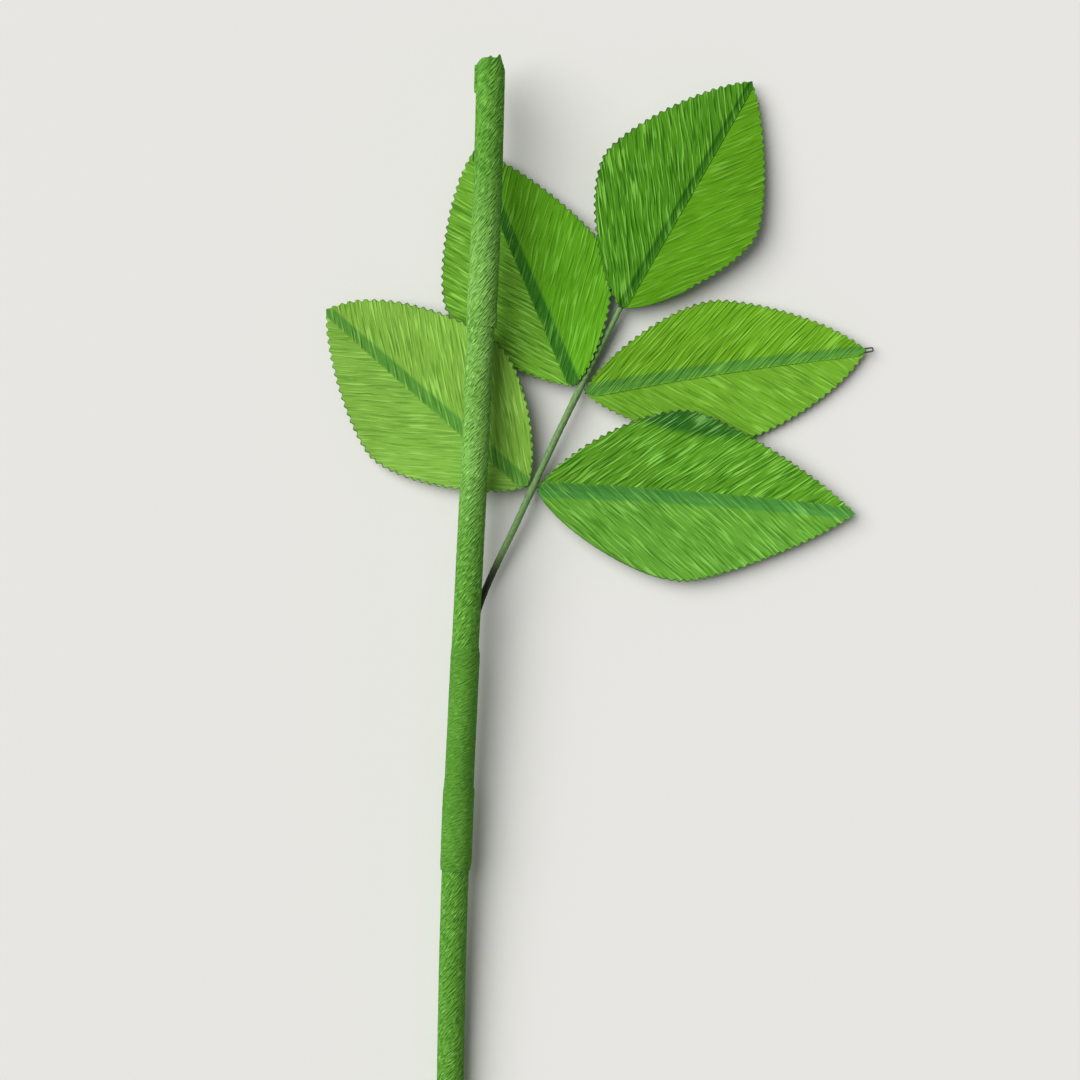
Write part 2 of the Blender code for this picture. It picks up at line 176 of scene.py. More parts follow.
TERMINAL = Leaflet(
    "terminal", 0.0, 0.1635, 59.8, 0.0570, 0.0515, 0.47, 0.49, 1.14, 1.00,
    14.0, 13.0, 0.0, 0.55, 0.006, -WIRE_SETBACK)
UPPER_LEFT = Leaflet(
    "upper_left", JOINT_TWO_FROM_END, 0.1605, 113.2, 0.0560, 0.0515, 0.47, 0.43, 1.20, 1.10,
    4.0, 9.0, 0.0, 0.50, 0.001, -WIRE_SETBACK)
MIDDLE_RIGHT = Leaflet(
    "middle_right", JOINT_TWO_FROM_END, 0.1780, 8.4, 0.0425, 0.0475, 0.48, 0.52, 1.28, 1.38,
    11.0, 4.0, 0.0025, 0.55, 0.004, 0.0047)
LOWER_LEFT = Leaflet(
    "lower_left", JOINT_ONE_FROM_END, 0.1675, 138.8, 0.0520, 0.0550, 0.50, 0.44, 1.10, 1.75,
    5.0, 13.0, 0.0, 0.60, 0.003, -WIRE_SETBACK)
LOWER_RIGHT = Leaflet(
    "lower_right", JOINT_ONE_FROM_END, 0.1990, -4.3, 0.0545, 0.0530, 0.45, 0.47, 0.86, 0.92,
    15.0, 7.0, 0.0020, 0.50, 0.005, -WIRE_SETBACK)
LEAFLETS = (TERMINAL, UPPER_LEFT, MIDDLE_RIGHT, LOWER_LEFT, LOWER_RIGHT)


def linear(red, green, blue):
    """A screen colour from 0 to 255 as the shader's linear colour."""
    values = []
    for channel in (red, green, blue):
        share = channel / 255
        values.append(share / 12.92 if share <= 0.04045 else ((share + 0.055) / 1.055) ** 2.4)
    return (*values, 1.0)


class HalfPaper(NamedTuple):
    """How one leaf half looks: its tone and how strong its creases show, both set as painted light and
    shade, and its uncut margin.
    """

    tone: tuple
    contrast: float
    uncut: float


# Each half's tone and crease contrast are painted light and shade: halves facing the light are paler with
# faint creases, halves turned away are deeper with strong creases.
LIT_AND_SHADED_HALVES = {
    "terminal_left": HalfPaper(linear(82, 150, 26), 1.0, 0.0),
    "terminal_right": HalfPaper(linear(82, 140, 12), 0.36, 0.22),
    "upper_left_left": HalfPaper(linear(108, 166, 46), 0.85, 0.0),
    "upper_left_right": HalfPaper(linear(88, 154, 20), 0.48, 0.0),
    "middle_right_left": HalfPaper(linear(108, 168, 30), 0.50, 0.0),
    "middle_right_right": HalfPaper(linear(108, 164, 40), 0.52, 0.0),
    "lower_left_left": HalfPaper(linear(126, 176, 66), 0.48, 0.0),
    "lower_left_right": HalfPaper(linear(124, 173, 62), 0.60, 0.0),
    "lower_right_left": HalfPaper(linear(92, 156, 34), 1.0, 0.0),
    "lower_right_right": HalfPaper(linear(96, 158, 48), 0.72, 0.44),
}


class Midrib(NamedTuple):
    """How the lapped midrib looks: its tone, which is painted shade, its width and which half lies on
    top.
    """

    tone: tuple
    width: float
    side_on_top: int


# The dark midrib tones are painted shade: the lapped double sheet lets less light through and lies in the
# fold's shadow.
MIDRIBS = {
    "terminal": Midrib(linear(44, 104, 14), 0.75, 1),
    "upper_left": Midrib(linear(46, 108, 26), 1.05, -1),
    "middle_right": Midrib(linear(84, 146, 54), 1.05, 1),
    "lower_left": Midrib(linear(84, 143, 52), 1.10, -1),
    "lower_right": Midrib(linear(74, 142, 58), 1.25, -1),
}
STEM_TONE = linear(92, 153, 50)
# A painted pool of light: the paler tone of the stem's middle.
STEM_LIGHT_POOL_TONE = linear(118, 172, 76)
TAPE_TONE = linear(108, 146, 84)
# The painted shadow tone of the tape beside the stem.
TAPE_SHADOW_TONE = linear(46, 56, 30)
WIRE_TONE = linear(52, 70, 48)
WOOD_TONE = linear(178, 148, 108)
FLOOR_TONE = linear(226, 225, 221)


# The stem's axis, from the foot mount that the record states

foot_mount = frame["record"]["mounts"][0]
FOOT = np.array(foot_mount["pos_m"])
STEM_DIRECTION = -np.array(foot_mount["axis"])
STEM_DIRECTION /= np.linalg.norm(STEM_DIRECTION)
STEM_SIDE = np.cross(STEM_DIRECTION, (0.0, 0.0, 1.0))
STEM_SIDE /= np.linalg.norm(STEM_SIDE)
STEM_UP = np.cross(STEM_SIDE, STEM_DIRECTION)
BASE_WRAP_RADIUS = CORE_DIAMETER / 2 + PAPER_GAP + BASE_WRAP_WALL
GROUND = FOOT[2] - BASE_WRAP_RADIUS * float(STEM_UP[2])
TAIL_TURN = math.radians(-90.0 + STALK_SIDE)
TAIL_DISTANCE = BASE_WRAP_RADIUS + PAPER_GAP + STALK_RADIUS


def direction(angle):
    """Unit vector in the ground plane."""
    turn = math.radians(angle)
    return np.array((math.cos(turn), math.sin(turn), 0.0))


def eased(value, low, high):
    """A smooth step from 0 at low to 1 at high."""
    share = np.clip((value - low) / (high - low), 0.0, 1.0)
    return share * share * (3 - 2 * share)


def stem_axis(along):
    """Points on the gently bowed axis at distances from the foot."""
    along = np.asarray(along, float)[..., None]
    share = along / STEM_LENGTH
    offset = -STEM_BOW * np.sin(math.pi * share) - STEM_SWAY * np.sin(2 * math.pi * share)
    offset = offset + STEM_TOP_BEND * eased(along, *STEM_BEND_RANGE)
    return FOOT + STEM_DIRECTION * along + STEM_SIDE * offset


def around_stem(along, turn, radius):
    """Points at turns about the axis: 0 is the stalk's side, a quarter turn faces up."""
    radius = np.asarray(radius, float)
    side = (radius * np.cos(turn))[..., None]
    rise = (radius * np.sin(turn))[..., None]
    return stem_axis(along) + STEM_SIDE * side + STEM_UP * rise


# Creases as smooth noise drawn out along one direction

def crease_height(along, across, angle, pitch, run, seed):
    """Height from -1 to 1 of creases that run at an angle to the first axis."""
    turn = math.radians(angle)
    run_at = (along * math.cos(turn) + across * math.sin(turn)) / run
    pitch_at = (across * math.cos(turn) - along * math.sin(turn)) / pitch
    heights = [
        1.3 * noise.noise(Vector((p, q, seed)))
        + 0.5 * noise.noise(Vector((1.7 * p, 2.1 * q, seed + 5.0)))
        for p, q in zip(run_at.ravel(), pitch_at.ravel())]
    return np.clip(np.array(heights).reshape(along.shape), -1.0, 1.0)


# Meshes: a grid primitive shaped by the surface it stands for

def select_only(piece):
    """Make a piece the one that operators act on."""
    bpy.ops.object.select_all(action="DESELECT")
    piece.select_set(True)
    bpy.context.view_layer.objects.active = piece


def shaped_grid(name, points, flat, attributes):
    """A grid primitive moved onto points, with a flat map and named values."""
    rows, columns = points.shape[:2]
    bpy.ops.mesh.primitive_grid_add(
        x_subdivisions=columns - 1, y_subdivisions=rows - 1, size=1.0, calc_uvs=True)
    piece = bpy.context.object
    piece.name = name
    mesh = piece.data
    mesh.name = name
    mesh.vertices.foreach_set("co", points.reshape(-1).astype(np.float32))
    corner = np.empty(len(mesh.loops), np.int32)
    mesh.loops.foreach_get("vertex_index", corner)
    flat_points = flat.reshape(-1, 2)[corner] / UV_UNIT
    mesh.uv_layers[0].name = "flat"
    mesh.uv_layers["flat"].data.foreach_set("uv", flat_points.reshape(-1).astype(np.float32))
    for label, values in attributes.items():
        layer = mesh.attributes.new(label, "FLOAT", "POINT")
        layer.data.foreach_set("value", values.reshape(-1).astype(np.float32))
    mesh.update()
    return piece


def close_and_smooth(piece, wall=0.0, sharp=50.0):
    """Merge doubles, turn faces outwards, give a wall and shade smooth."""
    select_only(piece)
    bpy.ops.object.mode_set(mode="EDIT")
    bpy.ops.mesh.select_all(action="SELECT")
    bpy.ops.mesh.remove_doubles(threshold=DOUBLES)
    bpy.ops.mesh.normals_make_consistent(inside=False)
    bpy.ops.object.mode_set(mode="OBJECT")
    if wall:
        sheet = piece.modifiers.new("wall", "SOLIDIFY")
        sheet.thickness = wall
        sheet.offset = -1.0
        bpy.ops.object.modifier_apply(modifier="wall")
    bpy.ops.object.shade_smooth_by_angle(angle=math.radians(sharp))


def cap_ends(piece):
    """Close both ends of a tube and shade it smooth."""
    select_only(piece)
    bpy.ops.object.mode_set(mode="EDIT")
    bpy.ops.mesh.select_all(action="SELECT")
    bpy.ops.mesh.remove_doubles(threshold=DOUBLES)
    bpy.ops.mesh.fill_holes(sides=0)
    bpy.ops.object.mode_set(mode="OBJECT")
    close_and_smooth(piece, sharp=70.0)


def dress(piece, finish, slot, *nodes):
    """Give a piece its finish, hang it under the root body and hide the solids it stands for."""
    piece.data.materials.clear()
    piece.data.materials.append(finish)
    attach(piece, "root")
    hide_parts(*nodes)


# Shader maths

class Socket:
    """A node's output that Python's operators act on."""

    def __init__(self, graph, output):
        self.graph = graph
        self.output = output

    def maths(self, operation, *others):
        """A maths node on this output and others."""
        return self.graph.node(
            "ShaderNodeMath", {"operation": operation},
            {0: self, **{i + 1: other for i, other in enumerate(others)}})

    def __add__(self, other):
        return self.maths("ADD", other)

    __radd__ = __add__

    def __mul__(self, other):
        return self.maths("MULTIPLY", other)

    __rmul__ = __mul__

    def __sub__(self, other):
        return self.maths("SUBTRACT", other)

    def __rsub__(self, other):
        return (self * -1.0) + other

    def smooth(self, low, high):
        """A smooth step from 0 at low to 1 at high."""
        return self.graph.node(
            "ShaderNodeMapRange", {"interpolation_type": "SMOOTHSTEP"},
            {"Value": self, "From Min": low, "From Max": high})


class Finish:
    """A Principled material and the nodes that feed it."""

    def __init__(self, name):
        self.material = bpy.data.materials.new(name)
        self.material.use_nodes = True
        self.tree = self.material.node_tree
        self.shader = self.tree.nodes["Principled BSDF"]

    def node(self, kind, settings, inputs, output=0):
        """Add a node, set it up, feed its inputs and hand back one output."""
        made = self.tree.nodes.new(kind)
        for setting, value in settings.items():
            setattr(made, setting, value)
        for key, value in inputs.items():
            socket = made.inputs[key]
            if isinstance(value, Socket):
                self.tree.links.new(value.output, socket)
            else:
                socket.default_value = value
        return Socket(self, made.outputs[output])

    def feed(self, **inputs):
        """Set or link the shader's own sockets, named with underscores for spaces."""
        for key, value in inputs.items():
            socket = self.shader.inputs[key.replace("_", " ")]
            if isinstance(value, Socket):
                self.tree.links.new(value.output, socket)
            else:
                socket.default_value = value

    def attribute(self, name):
        """A value that the mesh carries."""
        return self.node("ShaderNodeAttribute", {"attribute_name": name}, {}, "Fac")

    def flat_map(self):
        """The two flat coordinates of the paper, in map units."""
        uv = self.node("ShaderNodeUVMap", {"uv_map": "flat"}, {})
        first = self.node("ShaderNodeSeparateXYZ", {}, {0: uv}, 0)
        second = self.node("ShaderNodeSeparateXYZ", {}, {0: uv}, 1)
        return first, second

    def drawn_noise(self, run_at, pitch_at, run, pitch, seed, detail):
        """Noise drawn out along the creases."""
        where = self.node("ShaderNodeCombineXYZ", {}, {
            0: run_at * (UV_UNIT / run), 1: pitch_at * (UV_UNIT / pitch), 2: seed})
        return self.node("ShaderNodeTexNoise", {"noise_dimensions": "3D"}, {
            "Vector": where, "Scale": 1.0, "Detail": detail, "Roughness": 0.55})

    def mix(self, share, first, second):
        """Blend two colours."""
        return self.node("ShaderNodeMix", {"data_type": "RGBA"}, {
            0: share, 6: first, 7: second}, 2)

    def bump(self, height, distance, strength):
        """A normal raised by a height."""
        return self.node("ShaderNodeBump", {}, {
            "Height": height, "Distance": distance, "Strength": strength}, "Normal")


def scaled(colour, factor):
    """A colour made lighter or darker."""
    return (*(min(1.0, channel * factor) for channel in colour[:3]), 1.0)


def crease_ridge_highlight(tone):
    """The painted highlight tone on a crease's ridge."""
    return (tone[0] * 1.45 + 0.085, tone[1] * 1.40 + 0.135, tone[2] * 1.6 + 0.045, 1.0)


def crease_valley_shade(tone):
    """The painted shade tone in the valleys between creases."""
    return (tone[0] * 0.40, tone[1] * 0.56, tone[2] * 0.30, 1.0)


def leaf_paper(name, paper_of_half, shaded_band_tone, seed):
    """Crepe with painted highlights on its crease ridges and painted shade between them, a painted shade
    band on the lapped midrib, a painted shadow line along the margin and a painted shade patch where
    another leaflet lies behind.
    """
    finish = Finish(name)
    tone = paper_of_half.tone
    contrast = paper_of_half.contrast
    along, across = finish.flat_map()
    band = finish.attribute("band")
    turn = math.radians(CREASE_ANGLE)
    run_at = along * math.cos(turn) + across * math.sin(turn)
    pitch_at = across * math.cos(turn) - along * math.sin(turn)
    sway = finish.drawn_noise(run_at, pitch_at, 0.030, 0.030, seed + 17.0, 0.0) - 0.5
    pitch_at = pitch_at + sway * (0.0028 / UV_UNIT)
    ridges = finish.drawn_noise(run_at, pitch_at, 0.020, 0.00135, seed, 0.0)
    hairs = finish.drawn_noise(run_at, pitch_at, 0.009, 0.00085, seed + 3.0, 0.0)
    valleys = finish.drawn_noise(run_at, pitch_at, 0.018, 0.00145, seed + 11.0, 0.0)
    cloud = finish.drawn_noise(run_at, pitch_at, 0.045, 0.022, seed + 7.0, 1.0)
    relief = ridges.smooth(0.50, 0.72) + hairs * 0.5 - valleys.smooth(0.50, 0.72) * 0.8
    bright = ridges.smooth(0.54, 0.70) + hairs.smooth(0.56, 0.74) * 0.45
    valleys = valleys.smooth(0.52, 0.70)
    paper = finish.mix(cloud.smooth(0.35, 0.65), scaled(tone, 0.94), scaled(tone, 1.06))
    # Painted shade in the crease valleys, then painted highlights on the ridges.
    paper = finish.mix(valleys * (0.85 * contrast), paper, crease_valley_shade(tone))
    paper = finish.mix(bright * contrast, paper, crease_ridge_highlight(tone))
    # Painted shade on the lapped midrib band, with its own painted crease highlights and shade.
    lapped = finish.mix(bright * 0.35, shaded_band_tone, crease_ridge_highlight(shaded_band_tone))
    lapped = finish.mix(valleys * 0.45, lapped, crease_valley_shade(shaded_band_tone))
    paper = finish.mix(band * (1.0 - bright * 0.30), paper, lapped)
    # Painted shade where another leaflet lies behind this half, with painted highlights along its
    # creases.
    behind = finish.attribute("behind")
    shade = finish.mix(bright * 0.65, linear(24, 90, 20), linear(120, 178, 96))
    paper = finish.mix(behind * (0.60 + cloud * 0.55), paper, shade)
    # A painted shadow line along the pinked margin.
    edge = finish.attribute("edge")
    paper = finish.mix(edge * 0.80, paper, linear(62, 88, 52))
    finish.feed(
        Base_Color=paper, Roughness=0.82, Normal=finish.bump(relief, 0.00030, 1.0),
        Specular_IOR_Level=0.12)
    return finish.material


def stem_paper(name, seed, angle, pitch, run, contrast, depth_of_tone):
    """Crepe wound round the stem, its fine creases slanting, with painted crease highlights and shade,
    and a painted pool of light on the middle of the stem.
    """
    finish = Finish(name)
    around, along = finish.flat_map()
    turn = math.radians(angle)
    run_at = around * math.cos(turn) + along * math.sin(turn)
    pitch_at = along * math.cos(turn) - around * math.sin(turn)
    sway = finish.drawn_noise(run_at, pitch_at, 0.012, 0.012, seed + 17.0, 0.0) - 0.5
    pitch_at = pitch_at + sway * (0.0015 / UV_UNIT)
    ridges = finish.drawn_noise(run_at, pitch_at, run, pitch, seed, 0.0)
    hairs = finish.drawn_noise(run_at, pitch_at, run * 0.6, pitch * 0.6, seed + 3.0, 0.0)
    valleys = finish.drawn_noise(run_at, pitch_at, run * 0.9, pitch, seed + 11.0, 0.0)
    cloud = finish.drawn_noise(run_at, pitch_at, 0.050, 0.030, seed + 7.0, 1.0)
    relief = ridges.smooth(0.48, 0.72) + hairs * 0.5 - valleys.smooth(0.48, 0.72) * 0.9
    bright = ridges.smooth(0.52, 0.70) + hairs.smooth(0.54, 0.74) * 0.40
    valleys = valleys.smooth(0.50, 0.70)
    # A painted pool of light: the stem's middle, about 0.38 to 0.66 m from the foot, is given a paler
    # tone.
    low = (along * UV_UNIT).smooth(0.375, 0.455)
    high = (along * UV_UNIT).smooth(0.655, 0.575)
    dyed = scaled(STEM_TONE, depth_of_tone)
    tone = finish.mix(low * high, dyed, STEM_LIGHT_POOL_TONE)
    light = finish.mix(low * high, crease_ridge_highlight(dyed), crease_ridge_highlight(STEM_LIGHT_POOL_TONE))
    deep = finish.mix(low * high, crease_valley_shade(dyed), crease_valley_shade(STEM_LIGHT_POOL_TONE))
    # Painted shade in the crease valleys, then painted highlights on the ridges.
    paper = finish.mix(valleys * (0.75 * contrast), tone, deep)
    paper = finish.mix(bright * (0.60 * contrast), paper, light)
    paper = finish.mix(cloud.smooth(0.60, 0.40) * 0.18, paper, deep)
    finish.feed(
        Base_Color=paper, Roughness=0.85, Normal=finish.bump(relief, 0.00040 * contrast, 1.0),
        Specular_IOR_Level=0.12)
    return finish.material


def tape(name):
    """Waxed floral tape, with a painted shadow darkening it where it enters the binding beside the stem.
    """
    finish = Finish(name)
    around, along = finish.flat_map()
    grain = finish.drawn_noise(along, around, 0.003, 0.0012, 2.0, 3.0)
    dark = finish.attribute("dark")
    colour = finish.mix(grain.smooth(0.35, 0.65), scaled(TAPE_TONE, 0.78), scaled(TAPE_TONE, 1.15))
    # Painted shadow of the stem where the tape enters the binding.
    colour = finish.mix(dark, colour, TAPE_SHADOW_TONE)
    finish.feed(
        Base_Color=colour, Roughness=0.62, Normal=finish.bump(grain, 0.0004, 0.6),
        Specular_IOR_Level=0.35)
    return finish.material


def coated_wire(name):
    """Thin wire in green enamel."""
    finish = Finish(name)
    spot = finish.node("ShaderNodeTexCoord", {}, {}, "Object")
    grain = finish.node("ShaderNodeTexNoise", {}, {"Vector": spot, "Scale": 900.0})
    colour = finish.mix(grain.smooth(0.4, 0.6), scaled(WIRE_TONE, 0.8), scaled(WIRE_TONE, 1.1))
    finish.feed(Base_Color=colour, Roughness=0.45, Metallic=0.15)
    return finish.material


def sawn_wood(name):
    """Pale rod with grain along its length."""
    finish = Finish(name)
    spot = finish.node("ShaderNodeTexCoord", {}, {}, "Object")
    long_way = finish.node("ShaderNodeMapping", {}, {"Vector": spot, "Scale": (900.0, 25.0, 900.0)})
    grain = finish.node("ShaderNodeTexNoise", {}, {"Vector": long_way, "Scale": 1.0, "Detail": 3.0})
    colour = finish.mix(grain.smooth(0.35, 0.65), scaled(WOOD_TONE, 0.7), scaled(WOOD_TONE, 1.05))
    finish.feed(Base_Color=colour, Roughness=0.7, Normal=finish.bump(grain, 0.0003, 0.5))
    return finish.material


# The wraps round the stem

def tube_grid(name, start, end, place, sides, step, seed, relief):
    """A creased tube round the stem between two distances from the foot."""
    count = max(4, round((end - start) / step))
    turns = np.linspace(-math.pi / 2, 1.5 * math.pi, sides + 1)
    levels = np.linspace(start, end, count + 1)
    turn, along = np.meshgrid(turns, levels)
    around = (turn + math.pi / 2) * BASE_WRAP_RADIUS
    crease = crease_height(
        -around, along, STEM_CREASE_ANGLE, STEM_CREASE_PITCH, STEM_CREASE_RUN, seed)
    crease[:, -1] = crease[:, 0]
    points = place(along, turn, relief * crease)
    return shaped_grid(name, points, np.stack([-around, along], -1), {})


def upper_slimming(along):
    """How much slimmer the wraps are on the upper stem."""
    return UPPER_SLIMMING * eased(along, *UPPER_SLIMMING_RANGE)


def base_wrap(finish):
    """The full-length layer."""
    def place(along, turn, lift):
        radius = BASE_WRAP_RADIUS - STEM_RELIEF + lift - upper_slimming(along)
        return around_stem(along, turn, radius)

    piece = tube_grid(
        "stem_paper_wrap", 0.0, STEM_LENGTH - CORE_SETBACK / 2, place, STEM_SIDES, STEM_STEP,
        1.0, STEM_RELIEF)
    close_and_smooth(piece, BASE_WRAP_WALL * 0.8)
    dress(piece, finish, "stem_paper", "stem_wrap")


def core(finish):
    """The wooden rod inside the wraps."""
    def place(along, turn, lift):
        return around_stem(along, turn, CORE_DIAMETER / 2 - 0.0006 + lift)

    piece = tube_grid(
        "stem_rod", 0.0, STEM_LENGTH - CORE_SETBACK, place, CORE_SIDES, CORE_STEP, 41.0, 0.0)
    cap_ends(piece)
    dress(piece, finish, "core_wood", "stem_core")


def crown_edge(turn):
    """How far the torn top edge stands above the wrap's even end."""
    right = np.cos(turn)
    points = 0.0012 * np.exp(-(right / 0.10) ** 2) + 0.0024 * np.exp(-((right - 0.62) / 0.13) ** 2)
    left_corner = 0.0042 * np.clip((-right - 0.40) / 0.60, 0.0, 1.0) ** 2.2
    right_corner = 0.0068 * np.clip((right - 0.66) / 0.34, 0.0, 1.0) ** 1.3
    return points - left_corner - right_corner


def top_wrap(finish):
    """The strip round the upper stem, torn at the top, with a loose tab at its side."""
    outer = BASE_WRAP_RADIUS + PAPER_GAP + TOP_WRAP_WALL
    tab_reach = TAB_WIDTH / 2 / outer
    tab_turn = math.radians(TAB_DIRECTION)

    def place(along, turn, lift):
        share = (along - TOP_WRAP_START) / (STEM_LENGTH - TOP_WRAP_START)
        along = along + crown_edge(turn) * eased(share, 0.90, 1.0)
        on_right = eased(np.cos(turn), 0.5, 0.95)
        past_foot = along - TOP_WRAP_START
        foot = 0.0006 * (1 - eased(past_foot, 0.0, 0.004)) * (1 - on_right)
        lump = 0.0006 * np.exp(-((past_foot - 0.004) / 0.004) ** 2) * on_right
        off = np.abs((turn - tab_turn + math.pi) % (2 * math.pi) - math.pi)
        inside = (off < tab_reach) & (along > STEM_LENGTH - TAB_END)
        radius = outer + lift - upper_slimming(along) - foot + lump
        return around_stem(along, turn, radius + np.where(inside, TAB_WALL * 1.3, 0.0))

    piece = tube_grid(
        "top_paper_wrap", TOP_WRAP_START, STEM_LENGTH, place, STRIP_SIDES, STRIP_STEP, 11.0, STEM_RELIEF)
    close_and_smooth(piece, TOP_WRAP_WALL * 0.6)
    dress(piece, finish, "stem_paper", "top_wrap")


def binding(finish):
    """The strip that binds the stalk's tail to the stem."""
    tail = np.array((math.cos(TAIL_TURN), math.sin(TAIL_TURN))) * TAIL_DISTANCE

    def place(along, turn, lift):
        left = eased(-np.cos(turn), -0.2, 0.8)
        right = eased(np.cos(turn), -0.1, 0.8)
        lap = BINDING_LAP * eased(-along, -BINDING_LAP_END - 0.0008, -BINDING_LAP_END + 0.0008)
        lap = lap * (0.3 + 1.2 * right)
        foot = (1 - eased(along, BINDING_START, BINDING_START + WRAP_END_TAPER)) * (1 - 0.75 * left)
        head = eased(along, BINDING_END - WRAP_END_TAPER, BINDING_END) * (1 - 0.75 * left)
        slim = 0.0007 * left * eased(along, 0.245, 0.262)
        clearance = PAPER_GAP + BINDING_WALL + lap + lift - 0.0008 * foot - 0.0008 * head - slim
        out = np.stack([np.cos(turn), np.sin(turn)], -1)
        over_tail = (out @ tail) + STALK_RADIUS > BASE_WRAP_RADIUS
        flat = np.where(
            over_tail[..., None], tail + out * (STALK_RADIUS + clearance)[..., None],
            out * (BASE_WRAP_RADIUS + clearance)[..., None])
        return stem_axis(along) + STEM_SIDE * flat[..., :1] + STEM_UP * flat[..., 1:]

    piece = tube_grid(
        "binding_paper", BINDING_START, BINDING_END, place, STRIP_SIDES, STRIP_STEP, 23.0, STEM_RELIEF)
    close_and_smooth(piece, BINDING_WALL * 0.6)
    dress(piece, finish, "stem_paper", "binding_wrap")


# The stalk

def stalk_route():
    """The stalk's centre line: its bound tail, then its free run."""
    levels = np.linspace(BINDING_START + STALK_TAIL_MARGIN, BINDING_END, STALK_TAIL_STATIONS)
    tail = around_stem(levels, TAIL_TURN, np.full(levels.shape, TAIL_DISTANCE))
    root_point = tail[-1]
    end = root_point + direction(STALK_CHORD_ANGLE) * STALK_CHORD
    end[2] = STALK_HEIGHT + GROUND
    rise = root_point + STEM_DIRECTION * STALK_RISE_HANDLE
    fall = end - direction(STALK_END_ANGLE) * STALK_END_HANDLE
    free = interpolate_bezier(Vector(root_point), Vector(rise), Vector(fall), Vector(end), STALK_STATIONS)
    return tail, [Vector(point) for point in free]


TAIL_POINTS, FREE_POINTS = stalk_route()


def stalk_point(from_end):
    """Point on the free stalk at a distance back from its end."""
    left = from_end
    for near, far in zip(FREE_POINTS[::-1], FREE_POINTS[-2::-1]):
        span = (far - near).length
        if left <= span:
            return near.lerp(far, left / span)
        left -= span
    return FREE_POINTS[0]


def stalk_radius(from_end):
    """The stalk is thicker below its upper joint and swells at the joints."""
    share = np.clip((from_end - JOINT_TWO_FROM_END) / 0.010 + 0.5, 0.0, 1.0)
    radius = STALK_TWIG_RADIUS + (STALK_RADIUS - STALK_TWIG_RADIUS) * share
    for joint in (JOINT_TWO_FROM_END, JOINT_ONE_FROM_END):
        radius = radius + STALK_JOINT_SWELL * np.exp(-((from_end - joint) / 0.006) ** 2)
    return radius


def stalk(finish):
    """The bar of wires under spirally wound tape."""
    route = [Vector(point) for point in TAIL_POINTS[:-1]]
    passed = 0.0
    for before, point in zip([FREE_POINTS[0]] + FREE_POINTS, FREE_POINTS):
        passed += (point - before).length
        near_root = eased(passed, 0.0, STALK_HUG_FULL) * (1 - eased(passed, *STALK_HUG_FADE))
        hug = STALK_HUG * float(near_root)
        route.append(point - Vector(STEM_SIDE) * hug - Vector((0.0, 0.0, 0.6 * hug)))
    dense = []
    for before, start, end, after in zip([route[0]] + route, route, route[1:], route[2:] + [route[-1]]):
        for step in range(STALK_SUBSTEPS):
            t = step / STALK_SUBSTEPS
            dense.append(0.5 * (
                2 * start + (end - before) * t + (2 * before - 5 * start + 4 * end - after) * t * t
                + (3 * start - before - 3 * end + after) * t * t * t))
    dense.append(route[-1])
    spans = [(b - a).length for a, b in zip(dense, dense[1:])]
    from_start = np.concatenate([[0.0], np.cumsum(spans)])
    from_end = from_start[-1] - from_start
    turns = np.linspace(0.0, 2 * math.pi, STALK_SIDES + 1)
    forward = (dense[1] - dense[0]).normalized()
    side = forward.cross(Vector((0.0, 0.0, 1.0))).normalized()
    points = np.empty((len(dense), STALK_SIDES + 1, 3))
    for i, point in enumerate(dense):
        ahead = dense[min(i + 1, len(dense) - 1)] - dense[max(i - 1, 0)]
        twist = forward.rotation_difference(ahead.normalized())
        forward = twist @ forward
        side = (twist @ side).normalized()
        up = side.cross(forward)
        lap = (turns / (2 * math.pi) + from_start[i] / TAPE_PITCH) % 1.0
        radius = stalk_radius(from_end[i]) + TAPE_STEP * (lap - 0.5)
        sideways = np.outer(radius * np.cos(turns), side)
        points[i] = np.array(point) + sideways + np.outer(radius * np.sin(turns), up)
    points[:, -1] = points[:, 0]
    around, along = np.meshgrid(turns * STALK_RADIUS, from_start)
    # Painted shadow: the tape darkens towards its bound end, beside the stem.
    dark = eased(from_end, *TAPE_SHADOW_FROM_END)[:, None] * np.ones(STALK_SIDES + 1)
    piece = shaped_grid("stalk_tape_wrap", points, np.stack([around, along], -1), {"dark": dark})
    cap_ends(piece)
    dress(piece, finish, "stalk_tape", "leaf_stalk")


# The leaflets

def half_outline(length, width, widest, fullness):
    """Smooth margin of one half, from the base to the tip, as plan points."""
    shoulder = Vector((widest * length, width, 0.0))
    base_handle = Vector((OUTLINE_BASE_HANDLE[0] * length, OUTLINE_BASE_HANDLE[1] * width, 0.0))
    tip_handle = Vector((OUTLINE_TIP_HANDLE[0] * length, OUTLINE_TIP_HANDLE[1] * width * fullness, 0.0))
    before = shoulder - Vector((OUTLINE_SHOULDER_HANDLE * length, 0.0, 0.0))
    after = shoulder + Vector((OUTLINE_FALL_HANDLE * length, 0.0, 0.0))
    lower = interpolate_bezier(Vector((0, 0, 0)), base_handle, before, shoulder, OUTLINE_SAMPLES)
    upper = interpolate_bezier(shoulder, after, tip_handle, Vector((length, 0, 0)), OUTLINE_SAMPLES)
    return np.array([point[:2] for point in lower + upper[1:]])


